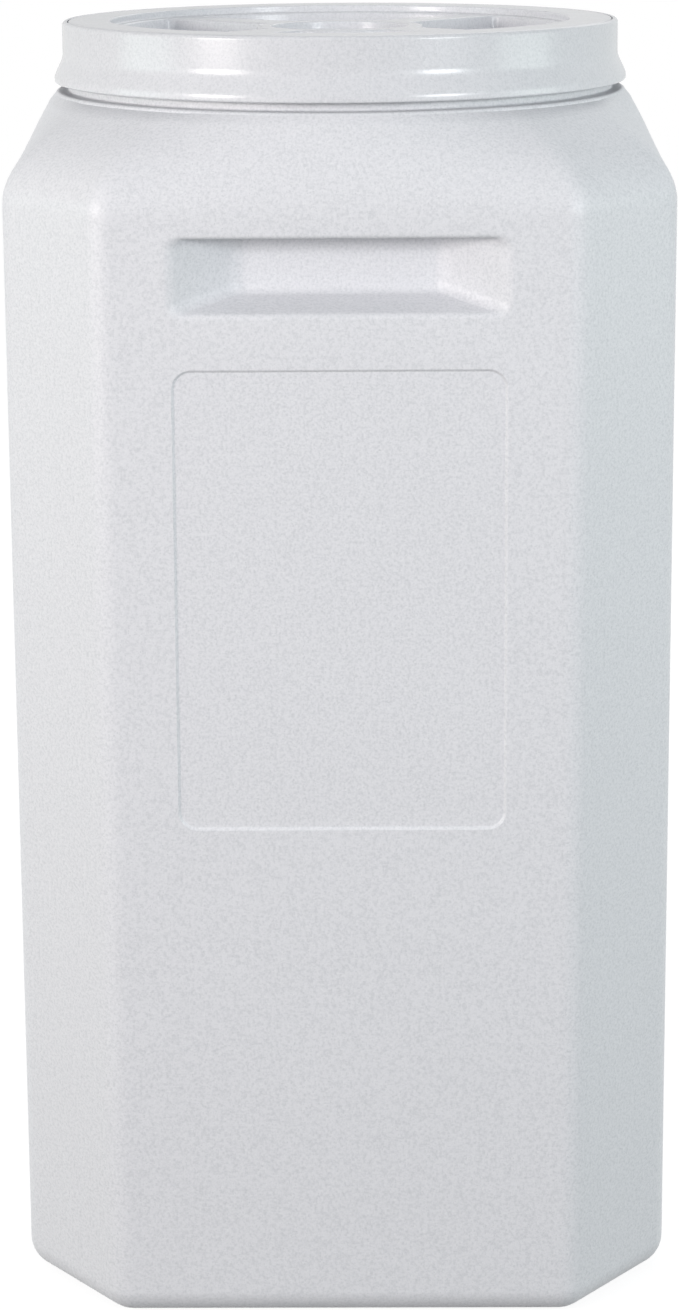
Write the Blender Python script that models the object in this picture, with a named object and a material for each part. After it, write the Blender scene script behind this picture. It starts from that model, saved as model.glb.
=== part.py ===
"""Pet food bin: a blow-moulded square vessel with a round neck, a press-on adapter ring,
a spin lid that screws into the ring, and the two gaskets that make it airtight.
Metres, +Z up. The bin stands on Z = 0, its axis is the Z axis and its front faces -Y."""

import math

import bmesh
import bpy

# Vessel
BODY_WIDTH = 0.358
CHAMFER_LEG = 0.055
BODY_EDGE_RADIUS = 0.0195
BASE_RADIUS = 0.0165
BASE_PUSH_UP = 0.004
FOOT_BAND = 0.030
FOOT_SLOPE = 0.008
WALL = 0.003
SHOULDER_BREAK_Z = 0.626
SHOULDER_BREAK_BLEND = 0.0195
SHOULDER_TOP_Z = 0.6583
SHOULDER_LEDGE = 0.008
SHOULDER_LEDGE_ROUND = 0.005

# Neck
NECK_RADIUS = 0.154
NECK_WALL = 0.0042

# Hand grips, moulded into the front and the back
GRIP_WIDTH = 0.1736
GRIP_HEIGHT = 0.0387
GRIP_TOP_Z = 0.5953
GRIP_DEPTH = 0.026
GRIP_SIDE_SLOPE = 0.0335
GRIP_SILL_SLOPE = 0.008
GRIP_UNDERCUT = 0.003
GRIP_CORNER_RADIUS = 0.005

# Shallow panel on the front
PANEL_WIDTH = 0.1716
PANEL_HEIGHT = 0.2461
PANEL_TOP_Z = 0.5274
PANEL_DEPTH = 0.0012
PANEL_DRAFT = 0.0006
PANEL_CORNER_RADIUS = 0.0095

# Adapter ring
RING_STANDOFF = 0.0047
RING_HEIGHT = 0.034
RING_WALL = 0.0029
RING_FLARE = 0.0048
RING_FLARE_HEIGHT = 0.0145
RING_LOWER_LIP = 0.0022
RING_UPPER_LIP = 0.0065
RING_DECK = 0.003
RING_COLLAR_WALL = 0.003
RING_COLLAR_DEPTH = 0.020
RING_EDGE_ROUND = 0.0012

# Gaskets
NECK_GASKET_THICK = 0.0025
NECK_GASKET_CROWN = 0.0004
LID_GASKET_THICK = 0.0027
LID_GASKET_WIDTH = 0.006
LID_GASKET_CROWN = 0.0008

# Spin lid
LID_FLANGE_THICK = 0.0032
LID_RIM_WIDTH = 0.0237
LID_PAN_DEPTH = 0.0042
LID_WALL = 0.0028
LID_SKIRT_DEPTH = 0.026
LID_SKIRT_WALL = 0.003
LID_EDGE_ROUND = 0.001
SPOKE_HALF_WIDTH = 0.0125
SPOKE_TURN = math.radians(48.4)
HUB_RADIUS = 0.047
WELL_DEPTH = 0.018
WELL_DRAFT = 0.0025
WELL_SHELF = 0.0045
WELL_CORNER_RADIUS = 0.005
DISH_RADIUS = 0.039
DISH_DEPTH = 0.006

# Clearances
FIT_GAP = 0.0004
COLLAR_GAP = 0.0006
SEAT_GAP = 0.0003
LID_EDGE_GAP = 0.0004
THREAD_GAP = 0.003

# Facets
FACE_STEPS = 10
ARC_STEPS = 3
CHAMFER_STEPS = 3
TURN_STEPS = 72
CURVE_STEPS = 4
EDGE_STEPS = 2
SMOOTH_BELOW = math.radians(35)
OVERRUN = 0.010

# Colours
PLASTIC_GREY = (0.70, 0.71, 0.73)
NECK_RUBBER = (0.03, 0.03, 0.03)
LID_RUBBER = (0.05, 0.05, 0.05)

# Places worked out from the sizes above
HALF = BODY_WIDTH / 2
SHOULDER_RADIUS = NECK_RADIUS + SHOULDER_LEDGE
RING_BOTTOM_Z = SHOULDER_TOP_Z + RING_STANDOFF
TOP_Z = RING_BOTTOM_Z + RING_HEIGHT
RING_INNER_RADIUS = NECK_RADIUS + FIT_GAP
RING_WALL_RADIUS = RING_INNER_RADIUS + RING_WALL
RING_FLARE_RADIUS = RING_WALL_RADIUS + RING_FLARE
DECK_Z = TOP_Z - RING_UPPER_LIP
CHANNEL_Z = DECK_Z - RING_DECK
NECK_RIM_Z = CHANNEL_Z - NECK_GASKET_THICK - 2 * SEAT_GAP
NECK_INNER_RADIUS = NECK_RADIUS - NECK_WALL
COLLAR_RADIUS = NECK_INNER_RADIUS - COLLAR_GAP
BORE_RADIUS = COLLAR_RADIUS - RING_COLLAR_WALL
COLLAR_BOTTOM_Z = CHANNEL_Z - RING_COLLAR_DEPTH
LID_RADIUS = RING_INNER_RADIUS - LID_EDGE_GAP
LID_UNDERSIDE_Z = TOP_Z - LID_FLANGE_THICK
SKIRT_RADIUS = BORE_RADIUS - THREAD_GAP
SKIRT_BOTTOM_Z = TOP_Z - LID_SKIRT_DEPTH
PAN_RADIUS = LID_RADIUS - LID_RIM_WIDTH
PAN_Z = TOP_Z - LID_PAN_DEPTH
WELL_FLOOR_Z = TOP_Z - WELL_DEPTH


def clear_scene():
    for obj in list(bpy.data.objects):
        bpy.data.objects.remove(obj, do_unlink=True)


def plastic(name, colour, roughness):
    """A plain plastic or rubber in the piece's own colour."""
    material = bpy.data.materials.new(name)
    material.use_nodes = True
    shader = material.node_tree.nodes["Principled BSDF"]
    shader.inputs["Base Color"].default_value = (*colour, 1.0)
    shader.inputs["Roughness"].default_value = roughness
    shader.inputs["Metallic"].default_value = 0.0
    return material


def lofted(name, rings, closed=False):
    """One closed mesh through rings of points: capped at its two ends, or joined end to end."""
    mesh = bpy.data.meshes.new(name)
    bm = bmesh.new()
    rows = [[bm.verts.new(point) for point in ring] for ring in rings]
    pairs = list(zip(rows, rows[1:]))
    if closed:
        pairs.append((rows[-1], rows[0]))
    for low, high in pairs:
        for i in range(len(low)):
            j = (i + 1) % len(low)
            bm.faces.new((low[i], low[j], high[j], high[i]))
    if not closed:
        bm.faces.new(reversed(rows[0]))
        bm.faces.new(rows[-1])
    bmesh.ops.recalc_face_normals(bm, faces=bm.faces)
    bm.to_mesh(mesh)
    bm.free()
    mesh.shade_smooth()
    mesh.set_sharp_from_angle(angle=SMOOTH_BELOW)
    obj = bpy.data.objects.new(name, mesh)
    bpy.context.scene.collection.objects.link(obj)
    return obj


def helper(obj):
    """Marks a cutter or a filler that only a Boolean uses."""
    obj.hide_render = True
    obj.display_type = "WIRE"
    return obj


def combine(obj, other, operation):
    modifier = obj.modifiers.new(f"{operation.lower()}_{other.name}", "BOOLEAN")
    modifier.operation = operation
    modifier.solver = "EXACT"
    modifier.object = other


def circle(radius, z, steps=TURN_STEPS):
    turns = [2 * math.pi * i / steps for i in range(steps)]
    return [(radius * math.cos(a), radius * math.sin(a), z) for a in turns]


def arc(centre, radius, start, end, steps=CURVE_STEPS):
    """Points in a plane on an arc, by its centre and its two angles in degrees."""
    angles = [math.radians(start + (end - start) * i / steps) for i in range(steps + 1)]
    return [(centre[0] + radius * math.cos(a), centre[1] + radius * math.sin(a)) for a in angles]


def spun(outline, turn):
    """A flat outline turned about the axis."""
    c, s = math.cos(turn), math.sin(turn)
    return [(x * c - y * s, x * s + y * c) for x, y in outline]


def at_height(outline, z):
    return [(x, y, z) for x, y in outline]


def turned(name, profile, closed=True):
    """A turned piece from a profile of (radius, height) points."""
    return lofted(name, [circle(r, z) for r, z in profile], closed)


# Vessel wall in plan: a square with chamfered, rounded corners
def corner_of_wall(inset):
    """Half width, leg and corner radius of the wall line after an even inset."""
    half = HALF - inset
    leg = CHAMFER_LEG - inset * (2 - math.sqrt(2))
    radius = max(BODY_EDGE_RADIUS - inset, WALL / 2)
    return half, leg, radius


def tangent_angles(inset):
    """Polar angles, from the middle of a face, where the rounding of its edge starts and ends."""
    half, leg, radius = corner_of_wall(inset)
    reach = radius * math.tan(math.pi / 8)
    slant = reach / math.sqrt(2)
    return math.atan2(half - leg - reach, half), math.atan2(half - leg + slant, half - slant)


def wall_radius(angle, inset):
    """Distance from the axis to the wall line at a polar angle."""
    half, leg, radius = corner_of_wall(inset)
    first, last = tangent_angles(inset)
    folded = abs((angle + math.pi / 4) % (math.pi / 2) - math.pi / 4)
    across, along = math.cos(folded), math.sin(folded)
    if folded <= first:
        return half / across
    if folded >= last:
        return (2 * half - leg) / (across + along)
    back = radius / math.cos(math.pi / 8)
    centre_x = half - back * math.cos(math.pi / 8)
    centre_y = half - leg - back * math.sin(math.pi / 8)
    toward = centre_x * across + centre_y * along
    return toward + math.sqrt(toward**2 - centre_x**2 - centre_y**2 + radius**2)


def plan_angles():
    """Polar angles of the vessel's upright edges, closest together at its corners."""
    first, last = tangent_angles(0)
    spans = (
        (-first, first, FACE_STEPS),
        (first, last, ARC_STEPS),
        (last, math.pi / 2 - last, CHAMFER_STEPS),
        (math.pi / 2 - last, math.pi / 2 - first, ARC_STEPS),
    )
    angles = []
    for quarter in range(4):
        for start, end, steps in spans:
            for i in range(steps):
                angles.append(quarter * math.pi / 2 + start + (end - start) * i / steps)
    return angles


ANGLES = plan_angles()


def plan_ring(z, inset=0.0, roundness=0.0, radius=SHOULDER_RADIUS):
    """One level of the vessel, from its chamfered square (roundness 0) to a circle (roundness 1)."""
    points = []
    for angle in ANGLES:
        reach = wall_radius(angle, inset) * (1 - roundness) + radius * roundness
        points.append((reach * math.cos(angle), reach * math.sin(angle), z))
    return points


def shoulder_rings(inset):
    """The soft break from the upright wall into the shoulder, and the shoulder up to its ledge."""
    break_z = SHOULDER_BREAK_Z - inset / 3
    top_z = SHOULDER_TOP_Z - inset
    radius = SHOULDER_RADIUS - inset
    rise = top_z - break_z
    share = SHOULDER_BREAK_BLEND / rise
    rings = []
    for i in range(CURVE_STEPS + 1):
        t = i / CURVE_STEPS
        z = break_z - SHOULDER_BREAK_BLEND * (1 - t) ** 2 + rise * share * t**2
        rings.append(plan_ring(z, inset, share * t**2, radius))
    ledge = SHOULDER_LEDGE_ROUND
    rings.append(plan_ring(top_z - ledge, inset, 1 - ledge / rise, radius))
    for turn in (60, 30, 0):
        side = ledge * math.sin(math.radians(turn)) / 2
        drop = ledge * (1 - math.cos(math.radians(turn))) / 2
        rings.append(plan_ring(top_z - drop, inset, 1, radius - ledge / 2 + side))
    return rings


def base_rings(inset, floor_z):
    """The pushed-up floor, the foot band and the round edge of the base, from the middle out."""
    rings = [plan_ring(floor_z + BASE_PUSH_UP, FOOT_BAND + FOOT_SLOPE)]
    rings.append(plan_ring(floor_z, FOOT_BAND))
    radius = BASE_RADIUS - inset
    for i in range(CURVE_STEPS + 1):
        turn = math.pi / 2 * i / CURVE_STEPS
        back = inset + radius * (1 - math.sin(turn))
        rings.append(plan_ring(floor_z + radius * (1 - math.cos(turn)), back))
    return rings


def grip_outline(grow, side_in, sill_up, lift):
    """Corners of a hand grip's outline (across, height), grown evenly or drawn in towards its floor."""
    half = GRIP_WIDTH / 2 - side_in + grow
    top = GRIP_TOP_Z + lift + grow
    bottom = GRIP_TOP_Z - GRIP_HEIGHT + sill_up - grow
    return rounded_rectangle(half, bottom, top, GRIP_CORNER_RADIUS + grow)


def rounded_rectangle(half, bottom, top, radius):
    points = []
    corners = ((half, top, 0), (-half, top, 90), (-half, bottom, 180), (half, bottom, 270))
    for x, z, start in corners:
        centre = (x - math.copysign(radius, x), z - radius if z == top else z + radius)
        points += arc(centre, radius, start, start + 90, ARC_STEPS)
    return points


def on_face(outline, depth, side):
    """An outline set at a depth behind the front face (side -1) or the back face (side 1)."""
    return [(x, side * (HALF - depth), z) for x, z in outline]


def grip_solid(name, side, grow, start):
    """A hand grip's hollow, or with grow the hollow and its wall, from start to its floor."""
    mouth = grip_outline(grow, 0, 0, 0)
    floor = grip_outline(grow, GRIP_SIDE_SLOPE, GRIP_SILL_SLOPE, GRIP_UNDERCUT)
    depth = GRIP_DEPTH + grow
    share = max(start, 0) / GRIP_DEPTH
    first = [(a[0] + (b[0] - a[0]) * share, a[1] + (b[1] - a[1]) * share) for a, b in zip(mouth, floor)]
    rings = [on_face(first, start, side), on_face(floor, depth, side)]
    if start < 0:
        rings.insert(1, on_face(mouth, 0, side))
    return helper(lofted(name, rings))


def panel_cutter():
    half, top = PANEL_WIDTH / 2, PANEL_TOP_Z
    bottom = top - PANEL_HEIGHT
    radius = PANEL_CORNER_RADIUS
    mouth = rounded_rectangle(half, bottom, top, radius)
    draft = PANEL_DRAFT
    floor = rounded_rectangle(half - draft, bottom + draft, top - draft, radius - draft)
    rings = [on_face(mouth, -OVERRUN, -1), on_face(mouth, 0, -1), on_face(floor, PANEL_DEPTH, -1)]
    return helper(lofted("panel_cutter", rings))


def bin_body():
    """The vessel: one loft up the outside, over the neck's rim and down the inside."""
    outside = base_rings(0, 0) + shoulder_rings(0)
    neck_outer = [plan_ring(z, 0, 1, NECK_RADIUS) for z in (SHOULDER_TOP_Z, NECK_RIM_Z)]
    neck_inner = [
        plan_ring(z, 0, 1, NECK_INNER_RADIUS) for z in (NECK_RIM_Z, SHOULDER_TOP_Z - WALL)
    ]
    inside = list(reversed(base_rings(WALL, WALL) + shoulder_rings(WALL)))
    body = lofted("bin_body", outside + neck_outer + neck_inner + inside)
    for label, side in (("front", -1), ("rear", 1)):
        combine(body, grip_solid(f"{label}_grip_wall", side, WALL, WALL / 2), "UNION")
        combine(body, grip_solid(f"{label}_grip_hollow", side, 0, -OVERRUN), "DIFFERENCE")
    combine(body, panel_cutter(), "DIFFERENCE")
    body.data.materials.append(plastic("speckled_granite_plastic", PLASTIC_GREY, 0.45))
    return body


# Adapter ring: an inverted channel over the neck's rim, with a flared skirt outside
def flare(offset):
    """The skirt's flare from the upright wall to its lower lip, hollow above and round below."""
    top = TOP_Z - (RING_HEIGHT - RING_LOWER_LIP - RING_FLARE_HEIGHT)
    points = []
    for i in range(2 * CURVE_STEPS + 1):
        t = i / (2 * CURVE_STEPS)
        ease = t * t * (3 - 2 * t)
        points.append((RING_WALL_RADIUS - offset + RING_FLARE * ease, top - RING_FLARE_HEIGHT * t))
    return points


def adapter_ring():
    edge = RING_EDGE_ROUND
    lip_in = RING_FLARE_RADIUS - RING_WALL
    outside = arc((RING_WALL_RADIUS - edge, TOP_Z - edge), edge, 90, 0, ARC_STEPS) + flare(0)
    lower = arc((RING_FLARE_RADIUS - edge, RING_BOTTOM_Z + edge), edge, 0, -90, ARC_STEPS)
    lower.append((lip_in, RING_BOTTOM_Z))
    channel = list(reversed(flare(RING_WALL)))
    channel += [(RING_INNER_RADIUS, CHANNEL_Z), (COLLAR_RADIUS, CHANNEL_Z)]
    collar = [(COLLAR_RADIUS, COLLAR_BOTTOM_Z), (BORE_RADIUS, COLLAR_BOTTOM_Z)]
    deck = [(BORE_RADIUS, DECK_Z), (RING_INNER_RADIUS, DECK_Z), (RING_INNER_RADIUS, TOP_Z)]
    ring = turned("adapter_ring", outside + lower + channel + collar + deck)
    ring.data.materials.append(plastic("ring_plastic", PLASTIC_GREY, 0.25))
    return ring


# Gaskets
def gasket(name, inner, outer, bottom, top, crown, colour):
    """A flat ring of rubber whose long edges are rounded."""
    profile = [
        (inner, bottom + crown),
        (inner, top - crown),
        (inner + crown, top),
        (outer - crown, top),
        (outer, top - crown),
        (outer, bottom + crown),
        (outer - crown, bottom),
        (inner + crown, bottom),
    ]
    ring = turned(name, profile)
    ring.data.materials.append(plastic(f"{name}_rubber", colour, 0.6))
    return ring


def neck_gasket():
    inner = COLLAR_RADIUS + SEAT_GAP
    outer = RING_INNER_RADIUS - SEAT_GAP
    bottom = NECK_RIM_Z + SEAT_GAP
    top = bottom + NECK_GASKET_THICK
    return gasket("neck_gasket", inner, outer, bottom, top, NECK_GASKET_CROWN, NECK_RUBBER)


def lid_gasket():
    middle = (BORE_RADIUS + RING_INNER_RADIUS) / 2
    inner, outer = middle - LID_GASKET_WIDTH / 2, middle + LID_GASKET_WIDTH / 2
    bottom = DECK_Z + SEAT_GAP
    top = bottom + LID_GASKET_THICK
    return gasket("lid_gasket", inner, outer, bottom, top, LID_GASKET_CROWN, LID_RUBBER)


# Spin lid
def well_outline(grow):
    """A finger well between two spokes, from the hub out to the shelf under the lid's rim."""
    side, hub = SPOKE_HALF_WIDTH - grow, HUB_RADIUS - grow
    radius = WELL_CORNER_RADIUS + grow
    reach = PAN_RADIUS - WELL_SHELF + grow
    inner = math.asin((side + radius) / (hub + radius))
    outer = math.asin((side + radius) / (reach - radius))
    near, far = (hub + radius) * math.cos(inner), (reach - radius) * math.cos(outer)
    low, start = math.degrees(inner), math.degrees(outer)
    points = arc((near, side + radius), radius, 270, 180 + low, ARC_STEPS)
    points += arc((0, 0), hub, low, 90 - low, CURVE_STEPS)[1:-1]
    points += arc((side + radius, near), radius, 270 - low, 180, ARC_STEPS)
    points += arc((side + radius, far), radius, 180, 90 - start, ARC_STEPS)
    points += arc((0, 0), reach, 90 - start, start, 2 * CURVE_STEPS)[1:-1]
    points += arc((far, side + radius), radius, start, -90, ARC_STEPS)
    return points


def well_solid(name, turn, grow, top, bottom):
    """A well's hollow, or with grow the hollow and its wall, tapering downwards."""
    mouth = spun(well_outline(grow), turn)
    floor = spun(well_outline(grow - WELL_DRAFT), turn)
    return helper(lofted(name, [at_height(mouth, top), at_height(floor, bottom)]))


def spin_lid():
    """The turned disc with rim, pan, dish and threaded skirt, then the wells between the spokes."""
    under = PAN_Z - LID_WALL
    inner = SKIRT_RADIUS - LID_SKIRT_WALL
    edge = LID_EDGE_ROUND
    dish = DISH_RADIUS - WELL_DRAFT
    profile = [(dish, PAN_Z - DISH_DEPTH), (DISH_RADIUS, PAN_Z)]
    profile += [(PAN_RADIUS - edge, PAN_Z), (PAN_RADIUS, PAN_Z + edge)]
    profile += arc((PAN_RADIUS + edge, TOP_Z - edge), edge, 180, 90, EDGE_STEPS)
    profile += arc((LID_RADIUS - edge, TOP_Z - edge), edge, 90, 0, EDGE_STEPS)
    profile += [(LID_RADIUS, LID_UNDERSIDE_Z), (SKIRT_RADIUS, LID_UNDERSIDE_Z)]
    profile += [(SKIRT_RADIUS, SKIRT_BOTTOM_Z), (inner, SKIRT_BOTTOM_Z), (inner, under)]
    profile += [(DISH_RADIUS + LID_WALL, under), (dish + LID_WALL, under - DISH_DEPTH)]
    lid = turned("spin_lid", profile, closed=False)
    web = under + LID_WALL / 2
    for quarter in range(4):
        turn = SPOKE_TURN + quarter * math.pi / 2
        wall = well_solid(f"well_wall_{quarter}", turn, LID_WALL, web, WELL_FLOOR_Z - LID_WALL)
        hollow = well_solid(f"well_hollow_{quarter}", turn, 0, TOP_Z + OVERRUN, WELL_FLOOR_Z)
        combine(lid, wall, "UNION")
        combine(lid, hollow, "DIFFERENCE")
    lid.data.materials.append(plastic("lid_plastic", PLASTIC_GREY, 0.3))
    return lid


def main():
    clear_scene()
    lid_axis = bpy.data.objects.new("lid_axis", None)
    bpy.context.scene.collection.objects.link(lid_axis)
    bin_body()
    adapter_ring()
    neck_gasket()
    for piece in (lid_gasket(), spin_lid()):
        piece.parent = lid_axis


main()
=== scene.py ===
"""Looks of the pet food bin: a speckled blow-moulded vessel, a glossy adapter ring and a spin
lid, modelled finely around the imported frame, with the studio that shows them.
Metres, +Z up, the bin's front faces -Y."""

import math
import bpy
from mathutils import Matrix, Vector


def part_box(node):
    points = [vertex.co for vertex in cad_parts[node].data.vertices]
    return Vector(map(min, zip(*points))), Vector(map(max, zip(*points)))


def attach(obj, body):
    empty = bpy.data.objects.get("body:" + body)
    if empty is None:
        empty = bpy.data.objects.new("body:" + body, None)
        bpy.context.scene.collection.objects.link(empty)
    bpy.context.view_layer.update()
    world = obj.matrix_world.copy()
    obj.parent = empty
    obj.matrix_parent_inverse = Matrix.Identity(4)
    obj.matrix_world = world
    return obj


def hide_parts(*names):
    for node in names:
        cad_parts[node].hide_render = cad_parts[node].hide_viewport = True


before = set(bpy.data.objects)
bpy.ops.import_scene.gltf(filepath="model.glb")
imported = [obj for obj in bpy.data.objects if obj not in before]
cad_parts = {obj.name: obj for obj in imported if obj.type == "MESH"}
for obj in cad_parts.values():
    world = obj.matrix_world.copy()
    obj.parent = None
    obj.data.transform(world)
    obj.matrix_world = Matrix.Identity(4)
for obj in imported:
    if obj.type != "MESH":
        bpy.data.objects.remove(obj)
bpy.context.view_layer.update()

from types import SimpleNamespace

import bmesh
import bpy
from bpy.props import FloatProperty, FloatVectorProperty, IntProperty, PointerProperty
from bpy.types import Operator, Panel, PropertyGroup
from mathutils import Matrix, Vector

bl_info = {
    "name": "Pet food bin",
    "version": (1, 0, 0),
    "blender": (4, 5, 0),
    "location": "View3D > Sidebar > Pet Bin",
    "description": "Builds the visual pieces of a pet food bin around its packed frame",
    "category": "Object",
}

BODY_LOW, BODY_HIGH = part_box("bin_body")
RING_LOW, RING_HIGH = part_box("adapter_ring")
LID_LOW, LID_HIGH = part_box("spin_lid")
NECK_SEAL_LOW, NECK_SEAL_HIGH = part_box("neck_gasket")
LID_SEAL_LOW, LID_SEAL_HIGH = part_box("lid_gasket")

IMAGE_HEIGHT = 1310
SENSOR = 36.0
OVERRUN = 0.010
QUARTER = math.pi / 2
SHARP_ANGLE = math.radians(40)


def length(name, description, default):
    """A size in metres that a user can change."""
    return FloatProperty(
        name=name, description=description, default=default, unit="LENGTH", subtype="DISTANCE"
    )


def share(name, description, default):
    """A plain number between 0 and 1."""
    return FloatProperty(
        name=name, description=description, default=default, min=0.0, max=1.0, subtype="FACTOR"
    )


def colour(name, description, default):
    """A colour in linear light."""
    return FloatVectorProperty(
        name=name, description=description, default=default, size=3, subtype="COLOR", min=0.0, max=1.0
    )


class BinVesselSizes(PropertyGroup):
    """Sizes of the vessel."""

    width: length("Width", "Across the flats of the vessel", BODY_HIGH.x - BODY_LOW.x)
    chamfer: length("Chamfer", "Leg of the upright corner chamfers", 0.055)
    edge_radius: length("Edge radius", "Rounding of the upright edges", 0.0195)
    base_radius: length("Base radius", "Rounding of the base edge", 0.0165)
    push_up: length("Push-up", "Rise of the middle of the base", 0.004)
    foot_band: length("Foot band", "Distance from the wall to the pushed-up middle", 0.030)
    foot_slope: length("Foot slope", "Run of the slope up to the middle", 0.008)
    wall: length("Wall", "Thickness of the wall", 0.003)
    break_z: length("Shoulder start", "Height where wall and shoulder would meet", 0.626)
    break_blend: length("Shoulder blend", "Reach of the soft break on each side", 0.0195)
    shoulder_z: length("Shoulder top", "Height of the ledge round the neck", 0.6583)
    ledge: length("Ledge", "Width of the ledge round the neck", 0.008)
    ledge_round: length("Ledge rounding", "Reach of the rounding at the ledge", 0.005)
    neck_radius: length("Neck radius", "Outer radius of the neck", 0.154)
    neck_wall: length("Neck wall", "Thickness of the neck", 0.0042)
    seam_height: length("Seam height", "How far the mould seam stands proud", 0.00022)
    seam_fade: share("Seam fade", "Share of the seam's height left above the foot", 0.3)
    seam_width: length("Seam width", "Width of the mould seam", 0.0012)
    seam_full_z: length("Seam full height", "Height up to which the seam stands full", 0.085)
    seam_faded_z: length("Seam faded height", "Height from which the seam has faded", 0.13)


class BinGripSizes(PropertyGroup):
    """Sizes of the hand grips and of the bare panel."""

    width: length("Grip width", "Across the mouth of a hand grip", 0.1736)
    height: length("Grip height", "Height of the mouth of a hand grip", 0.0387)
    top_z: length("Grip top", "Height of the lip that the fingers hold", 0.5953)
    depth: length("Grip depth", "Depth of the hand grip", 0.026)
    side_slope: length("Side slope", "Run of the sloping side walls", 0.0335)
    sill_slope: length("Sill slope", "Rise of the sloping sill", 0.008)
    undercut: length("Undercut", "How far the floor runs up behind the lip", 0.003)
    corner: length("Grip corner", "Corner radius of the mouth", 0.006)
    lip_round: length("Lip rounding", "Rounding of the mouth's edge", 0.0028)
    floor_round: length("Floor rounding", "Rounding where the walls meet the floor", 0.004)
    panel_width: length("Panel width", "Across the bare panel", 0.1716)
    panel_height: length("Panel height", "Height of the bare panel", 0.2461)
    panel_top_z: length("Panel top", "Height of the panel's upper edge", 0.5274)
    panel_depth: length("Panel depth", "Depth of the panel", 0.0012)
    panel_corner: length("Panel corner", "Corner radius of the panel", 0.0095)
    panel_slope: length("Panel slope", "Width of the sloping step round the panel", 0.0018)


class BinClosureSizes(PropertyGroup):
    """Sizes of the adapter ring, the spin lid, the threads and the gaskets."""

    ring_wall: length("Ring wall", "Thickness of the ring's outer wall", 0.0029)
    fit_gap: length("Fit gap", "Gap between the neck and the ring", 0.0004)
    collar_gap: length("Collar gap", "Gap between the neck and the inner collar", 0.0006)
    flare: length("Flare", "How far the skirt flares out", 0.0048)
    flare_height: length("Flare height", "Height of the flare", 0.0145)
    flare_fillet: length("Flare fillet", "Height of the hollow fillet above the flare", 0.006)
    flare_edge: length("Flare edge", "Height of the round edge below the flare", 0.003)
    lower_lip: length("Lower lip", "Height of the upright lip below the flare", 0.0022)
    upper_lip: length("Upper lip", "Height of the wall round the lid", 0.0065)
    deck: length("Deck", "Thickness of the deck under the lid", 0.003)
    collar_wall: length("Collar wall", "Thickness of the threaded collar", 0.003)
    collar_depth: length("Collar depth", "Depth of the threaded collar", 0.020)
    ring_round: length("Ring rounding", "Rounding of the ring's lower edge", 0.0012)
    ring_top_round: length("Ring top rounding", "Rounding of the ring's top edge", 0.0022)
    lid_flange: length("Lid flange", "Thickness of the lid's rim", 0.0032)
    lid_rim: length("Lid rim", "Width of the flat rim", 0.0237)
    pan_depth: length("Pan depth", "Depth of the lid's pan", 0.0042)
    lid_wall: length("Lid wall", "Thickness of the lid", 0.0028)
    skirt_wall: length("Skirt wall", "Thickness of the threaded skirt", 0.003)
    lid_round: length("Lid rounding", "Rounding of the lid's edges", 0.0012)
    spoke_half: length("Spoke half width", "Half the width of a spoke between two wells", 0.0125)
    spoke_turn: FloatProperty(
        name="Spoke turn",
        description="Turn of the shut lid's spokes",
        default=math.radians(48.4),
        subtype="ANGLE",
    )
    hub_radius: length("Hub radius", "Radius of the hub that carries the spokes", 0.047)
    well_depth: length("Well depth", "Depth of the finger wells", 0.018)
    well_draft: length("Well draft", "Draft of the wells' walls", 0.0025)
    well_shelf: length("Well shelf", "Width of pan kept outside the wells", 0.0045)
    well_corner: length("Well corner", "Corner radius of the wells", 0.005)
    dish_radius: length("Dish radius", "Radius of the dish in the hub", 0.039)
    dish_depth: length("Dish depth", "Depth of the dish", 0.006)
    thread_gap: length("Thread gap", "Gap between the plain skirt and the plain bore", 0.003)
    thread_lead: length("Thread lead", "Rise of the lid in one turn", 0.018)
    thread_height: length("Thread height", "Height of the thread's ridges", 0.002)
    thread_starts: IntProperty(name="Thread starts", description="Number of threads", default=3)
    seal_round: length("Seal rounding", "Rounding of the lid gasket's edges", 0.0009)


class BinColours(PropertyGroup):
    """Colours and gloss of the finishes."""

    body: colour("Body", "Moulded plastic of the vessel", (0.735, 0.740, 0.768))
    fleck: colour("Fleck", "Darker granite flecks", (0.545, 0.560, 0.585))
    pale_fleck: colour("Pale fleck", "Paler granite flecks", (0.810, 0.820, 0.835))
    rubber: colour("Rubber", "Rubber of the gaskets", (0.030, 0.031, 0.033))
    rubber_bloom: colour("Rubber bloom", "Paler bloom on the rubber", (0.075, 0.077, 0.080))
    body_grain: share("Body grain", "Strength of the vessel's surface grain", 0.25)
    body_flecks: share("Body flecks", "Strength of the vessel's flecks", 0.74)
    closure_grain: share("Closure grain", "Strength of the ring's and lid's surface grain", 0.06)
    closure_flecks: share("Closure flecks", "Strength of the ring's and lid's flecks", 0.62)
    ring_tone: share("Ring tone", "Tone of the ring against the vessel", 0.95)
    body_gloss: share("Body roughness", "Roughness of the vessel", 0.44)
    ring_gloss: share("Ring roughness", "Roughness of the ring", 0.22)
    lid_gloss: share("Lid roughness", "Roughness of the lid", 0.20)


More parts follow.
